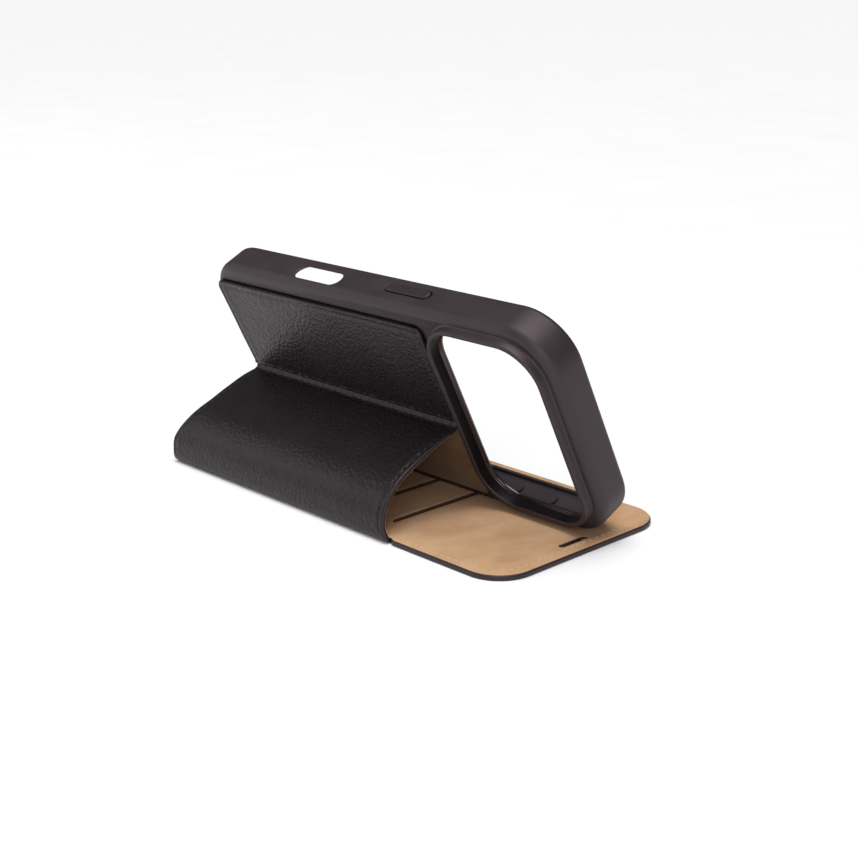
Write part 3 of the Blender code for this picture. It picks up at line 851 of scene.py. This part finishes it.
# ---- the cover ----------------------------------------------------------------------------
def cover_outline():
    """The cover's outline, anticlockwise from the port end of its fold edge."""
    x0, x1 = COVER_LOW.x - 0.5, COVER_HIGH.x + 0.2
    y0, y1 = CURL_ORIGIN[0] + NEAR_EDGE, COVER_HIGH.y
    fold_y = COVER_FOLD.y + 0.9
    neck = PANEL_RIGHT + 1.2
    r = COVER_CORNER
    points = [(x, fold_y) for x in np.linspace(x0, neck, 30)]
    for t in np.linspace(0, 1, 7)[1:]:
        points.append((neck + 2.2 * t, fold_y + (y0 - fold_y) * (3 * t ** 2 - 2 * t ** 3)))
    points += arc((x1 - r, y0 + r), r, -90, 0, 16)
    points += arc((x1 - r, y1 - r), r, 0, 90, 16)
    points += arc((x0 + r, y1 - r), r, 90, 180, 16)
    return points


def rounded_plate(name, points, levels, looks):
    """A plate skinned over (inset, height) levels, from its underside up."""
    rings = [[(x, y, z) for x, y in shrink(points, inset)] for inset, z in levels]
    return loft(name, rings, looks)


def slot_box(x, y, wide, tall, low, high, radius=None):
    radius = radius or min(wide, tall) / 2 - 0.01
    points = outline(x - wide / 2, y - tall / 2, x + wide / 2, y + tall / 2, radius, 6, 3)
    return loft("cutter", [[(px, py, z) for px, py in points] for z in (low, high)], SUEDE)


def build_cover():
    points = cover_outline()
    low, high = 0.55, 0.4
    top = LINING_UNDER + 0.12
    levels = [(low - low * math.sin(a), low - low * math.cos(a))
              for a in np.linspace(0, math.pi / 2, 6)]
    levels += [(high - high * math.cos(a), top - high + high * math.sin(a))
               for a in np.linspace(0, math.pi / 2, 5)]
    cover = rounded_plate("front_cover", points, levels, [LEATHER, EDGE])
    ear = desk(*EARPIECE[:2])
    cut(cover, slot_box(ear.x, ear.y, *EARPIECE[2:], -1.0, top + 1.0))
    sharpen(cover)
    edge_faces(cover, 1, lambda centre, normal: normal.z > -0.5)
    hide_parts("cover_leather")
    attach(cover, "cover")
    return cover


def build_cover_lining():
    points = cover_outline()
    soft = 0.22
    inset = 0.38
    low = LINING_UNDER
    levels = [(inset, low), (inset, COVER_TOP - soft)]
    levels += [(inset + soft - soft * math.cos(a), COVER_TOP - soft + soft * math.sin(a))
               for a in np.linspace(0, math.pi / 2, 5)][1:]
    lining = rounded_plate("cover_suede", points, levels, SUEDE)
    ear = desk(*EARPIECE[:2])
    cut(lining, slot_box(ear.x, ear.y, *EARPIECE[2:], low - 1.0, COVER_TOP + 1.0))
    for mouth in MOUTHS:
        middle = desk(mouth + MOUTH_WIDTH / 2 - 0.45, sum(MOUTH_Y) / 2)
        cut(lining, slot_box(middle.x, middle.y, MOUTH_WIDTH, MOUTH_Y[1] - MOUTH_Y[0],
                             low - 1.0, COVER_TOP + 1.0))
    sharpen(lining)
    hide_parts("cover_lining")
    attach(lining, "cover")
    return lining


def build_pocket_lips():
    """Each pocket's turned edge stands a little proud, with its cut edge facing out in a near-black copy of the
    suede: partly the edge's own darker tone, partly painted shade.
    """
    for number, mouth in enumerate(MOUTHS, 1):
        y0, y1 = MOUTH_Y
        rings, edges = [], []
        for t in np.linspace(0, 1, 41):
            fade = max(0.0, math.sin(math.pi * min(0.5, 8 * min(t, 1 - t)))) ** 0.5
            high = 0.05 + 0.5 * fade
            y = y0 + 0.6 + (y1 - y0 - 1.2) * t
            rings.append(mouth_ring(mouth, y, ((-6.5, -0.05), (-0.62, -0.30),
                                               (-0.55, high * 0.55), (-0.62, high * 0.85),
                                               (-0.85, high), (-1.3, high * 0.9),
                                               (-2.2, high * 0.62), (-4.0, high * 0.22))))
            edges.append(mouth_ring(mouth, y, ((-0.9, -0.45), (-0.3, -0.45),
                                               (-0.3, high * 0.62), (-0.42, high * 0.74),
                                               (-0.9, high * 0.7))))
        lip = loft(f"pocket_lip_{number}", rings, SUEDE, smooth=60.0)
        edge = loft(f"pocket_edge_{number}", edges, POCKET_EDGE_TONE_AND_SHADE, smooth=60.0)
        for piece, slot_name in ((lip, "microsuede"), (edge, "pocket_cloth")):
            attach(piece, "cover")


def mouth_ring(mouth, y, section):
    places = [desk(mouth + x, y) for x, _ in section]
    return [(place.x, place.y, COVER_TOP + z) for place, (_, z) in zip(places, section)]


BACKING_CLEAR = 4.0                # how much tighter than the tray's its near corner is


def build_backing():
    """Microsuede on the tray's back below the crease, in the suede darkened to 0.27: painted shade under the tray.
    """
    high = (CREASE - FOOT).dot(UP) - 2.2
    r = 0.8
    x0, x1 = PANEL_LEFT - TRAY_X0, PANEL_RIGHT - TRAY_X0 + 0.2
    points = [(x, high) for x in np.linspace(x1, x0, 24)]
    near = TRAY_CORNER - BACKING_CLEAR
    points += arc((x0 + near, PANEL_LOW + near), near, 180, 270, 16)
    points += arc((x1 - r, PANEL_LOW + r), r, 270, 360, 8)
    levels = [(0.0, 0.45), (0.0, -0.1), (0.06, -0.22), (0.22, -0.3)]
    rings = [[tray_point(x, v, deep) for x, v in shrink(points, inset)]
             for inset, deep in levels]
    backing = loft("tray_suede", rings, PAINTED_SHADE_SUEDE)
    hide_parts("tray_backing")
    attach(backing, "tray")
    return backing


# ---- stitches -----------------------------------------------------------------------------
def stitch_run(route, pitch, length, radius, lift, sink=0.16):
    """Stitches along a route of (point, out) pairs: short arched threads that dive at the ends."""
    points = np.array([p for p, _ in route])
    outs = np.array([o for _, o in route])
    walked = np.concatenate([[0.0], np.cumsum(np.linalg.norm(np.diff(points, axis=0), axis=1))])
    rings, faces, around, marks = [], [], 6, 5
    count = int(walked[-1] / pitch)
    for number in range(count):
        middle = (number + 0.5) * walked[-1] / count
        spots = middle + np.linspace(-0.5, 0.5, marks) * length
        base = len(rings) * around
        line = [np.array([np.interp(s, walked, points[:, k]) for k in range(3)]) for s in spots]
        out = np.array([np.interp(middle, walked, outs[:, k]) for k in range(3)])
        out /= np.linalg.norm(out)
        along = line[-1] - line[0]
        along /= np.linalg.norm(along)
        side = np.cross(along, out)
        for index, spot in enumerate(line):
            share = abs(2 * index / (marks - 1) - 1)
            thick = radius * (1 - 0.55 * share ** 2)
            centre = spot + out * (lift - sink * share ** 2)
            rings.append([centre + (side * math.cos(a) + out * math.sin(a)) * thick
                          for a in np.linspace(0, 2 * math.pi, around, endpoint=False)])
        for ring in range(marks - 1):
            for k in range(around):
                after = (k + 1) % around
                low, high = base + ring * around, base + (ring + 1) * around
                faces.append((low + k, high + k, high + after, low + after))
        faces.append(tuple(base + k for k in range(around)))
        last = base + (marks - 1) * around
        faces.append(tuple(last + k for k in range(around))[::-1])
    return rings, faces


def build_stitches(name, routes, look, pitch, length, radius, lift):
    points, faces = [], []
    for route in routes:
        rings, quads = stitch_run(route, pitch, length, radius, lift)
        shift = len(points)
        points += [tuple(p) for ring in rings for p in ring]
        faces += [tuple(shift + k for k in quad) for quad in quads]
    return make_object(name, points, faces, look, 80.0)


def on_skin(x, s, relief):
    point, out = SKIN.at(s)
    spot = point + out * relief(x, s)
    return np.array((x, *spot)), np.array((0.0, *out))


def build_leather_stitches():
    inset = STITCH_INSET
    top = SKIN.total - inset
    low = SKIN.crease + 3.0
    left, right = PANEL_LEFT + inset, PANEL_RIGHT - inset
    r = 1.6
    upright = np.arange(low, top - r, 0.5)
    turn = np.linspace(0, math.pi / 2, 6)
    route = [on_skin(left, s, panel_relief) for s in upright]
    route += [on_skin(left + r - r * math.cos(a), top - r + r * math.sin(a), panel_relief)
              for a in turn]
    route += [on_skin(x, top, panel_relief) for x in np.arange(left + r + 0.5, right - r, 0.5)]
    route += [on_skin(right - r + r * math.sin(a), top - r + r * math.cos(a), panel_relief)
              for a in turn]
    route += [on_skin(right, s, panel_relief) for s in upright[::-1]]
    panel = build_stitches("panel_stitches", [route], DARK_THREAD, 2.7, 2.0, 0.17, 0.02)
    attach(panel, "tray")
    marks = np.arange(SPINE_LOW + 1.0, CREASE_SEAM - 0.8, 0.5)
    sides = [[on_skin(SKIN.left(s) + inset, s, curl_relief) for s in marks],
             [on_skin(SKIN.right(s) - inset, s, curl_relief) for s in marks]]
    curl = build_stitches("curl_stitches", sides, DARK_THREAD, 2.7, 2.0, 0.17, 0.02)
    start, end = (SKIN.place(0.0, SKIN.flap_fold + d) for d in (-4.0, 4.0))
    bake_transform(curl)


def build_cover_stitches():
    """Cream stitches just inside the cover's free edges and round its corners."""
    inset = 3.0
    x1, y1 = COVER_HIGH.x - inset, COVER_HIGH.y - inset
    x0, y0 = COVER_LOW.x + inset, CURL_ORIGIN[0] + inset
    r = COVER_CORNER - inset
    path = [(x, y0) for x in np.arange(PANEL_RIGHT + 7.0, x1 - r, 1.0)]
    path += arc((x1 - r, y0 + r), r, -90, 0, 12)
    path += [(x1, y) for y in np.arange(y0 + r + 1.0, y1 - r, 1.0)]
    path += arc((x1 - r, y1 - r), r, 0, 90, 12)
    path += [(x, y1) for x in np.arange(x1 - r - 1.0, x0 + r, -1.0)]
    path += arc((x0 + r, y1 - r), r, 90, 180, 12)
    path += [(x0, y) for y in np.arange(y1 - r - 1.0, y0 + 2.0, -1.0)]
    route = [(np.array((x, y, COVER_TOP)), np.array((0.0, 0.0, 1.0))) for x, y in path]
    made = build_stitches("cover_stitches", [route], PALE_THREAD, 2.75, 2.05, 0.2, 0.06)
    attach(made, "cover")


# ---- the setting --------------------------------------------------------------------------
def build_floor():
    n = Nodes("pale_floor")
    soft = n.noise(60.0, 2.0)
    tint = n.ramp(soft, ((0.3, (0.86, 0.86, 0.86)), (0.7, (0.88, 0.88, 0.88))))
    look = n.finish(tint)
    n.set(Roughness=0.9, Specular_IOR_Level=0.1)
    half = 14000.0
    floor = make_object("floor", [(-half, -half, 0), (half, -half, 0), (half, half, 0),
                                  (-half, half, 0)], [(0, 1, 2, 3)], look)


def area_light(name, place, target, size, power, colour=(1.0, 1.0, 1.0)):
    light = bpy.data.lights.new(name, "AREA")
    light.shape = "RECTANGLE"
    light.size, light.size_y = size
    light.energy = power
    light.color = colour
    made = bpy.data.objects.new(name, light)
    bpy.context.scene.collection.objects.link(made)
    made.location = place
    made.rotation_euler = (Vector(target) - Vector(place)).to_track_quat("-Z", "Y").to_euler()


ROOM_LIGHT = 0.17
SUN_POWER = 2.95
SUN_SPREAD = math.radians(50.0)
SUN_SHINES = (-0.12, 0.12, -1.0)
FILL_TARGET = (0, 0, 0.02)
FILLS = (("front_left_fill", (-0.9, -0.8, 0.5), (1.0, 0.8), 3.2),
         ("right_fill", (0.75, -0.75, 0.4), (0.7, 0.5), 4.0))


def build_lights():
    """A pale room, a broad overhead light and a soft panel in front on each side."""
    world = bpy.data.worlds.new("studio")
    world.use_nodes = True
    world.node_tree.nodes["Background"].inputs["Color"].default_value = (1.0, 1.0, 1.0, 1.0)
    world.node_tree.nodes["Background"].inputs["Strength"].default_value = ROOM_LIGHT
    bpy.context.scene.world = world
    sun = bpy.data.lights.new("overhead", "SUN")
    sun.energy = SUN_POWER
    sun.angle = SUN_SPREAD
    made = bpy.data.objects.new("overhead", sun)
    bpy.context.scene.collection.objects.link(made)
    made.rotation_euler = Vector(SUN_SHINES).to_track_quat("-Z", "Y").to_euler()
    for name, place, size, power in FILLS:
        area_light(name, place, FILL_TARGET, size, power)
    bpy.context.scene.view_settings.view_transform = "Standard"


CAMERA_PLACE = (0.35087, -0.3215, 0.17096)
CAMERA_YAW = math.radians(46.70)
CAMERA_PITCH = math.radians(-17.46)
CAMERA_ROLL = math.radians(-0.46)
CAMERA_LENS = 64.64


def build_camera():
    camera = bpy.data.objects.new("camera", bpy.data.cameras.new("camera"))
    bpy.context.scene.collection.objects.link(camera)
    camera.data.lens = CAMERA_LENS
    camera.data.sensor_width = 36.0
    camera.data.clip_start = 0.01
    camera.location = CAMERA_PLACE
    ahead = Vector((-math.sin(CAMERA_YAW) * math.cos(CAMERA_PITCH),
                    math.cos(CAMERA_YAW) * math.cos(CAMERA_PITCH), math.sin(CAMERA_PITCH)))
    turn = ahead.to_track_quat("-Z", "Y").to_matrix()
    roll = turn.copy().Rotation(CAMERA_ROLL, 3, "Z")
    camera.rotation_euler = (turn @ roll).to_euler()
    bpy.context.scene.camera = camera


def finish_hidden_nodes():
    """The boards and pocket cloths inside the leather keep their solids."""
    looks = {"cover_board": BOARD, "flap_board": BOARD, "panel_board": BOARD,
             "lower_card_pocket": CLOTH, "upper_card_pocket": CLOTH}
    for name, look in looks.items():
        mesh = frame["nodes"][name].data
        mesh.materials.clear()
        mesh.materials.append(look)


build_camera()
build_floor()
build_lights()
build_tray()
build_camera_rim()
for key in KEYS:
    build_key(*key)
build_back_panel()
build_curl()
build_curl_lining()
build_fold()
build_cover()
build_cover_lining()
build_pocket_lips()
build_backing()
build_leather_stitches()
build_cover_stitches()
finish_hidden_nodes()
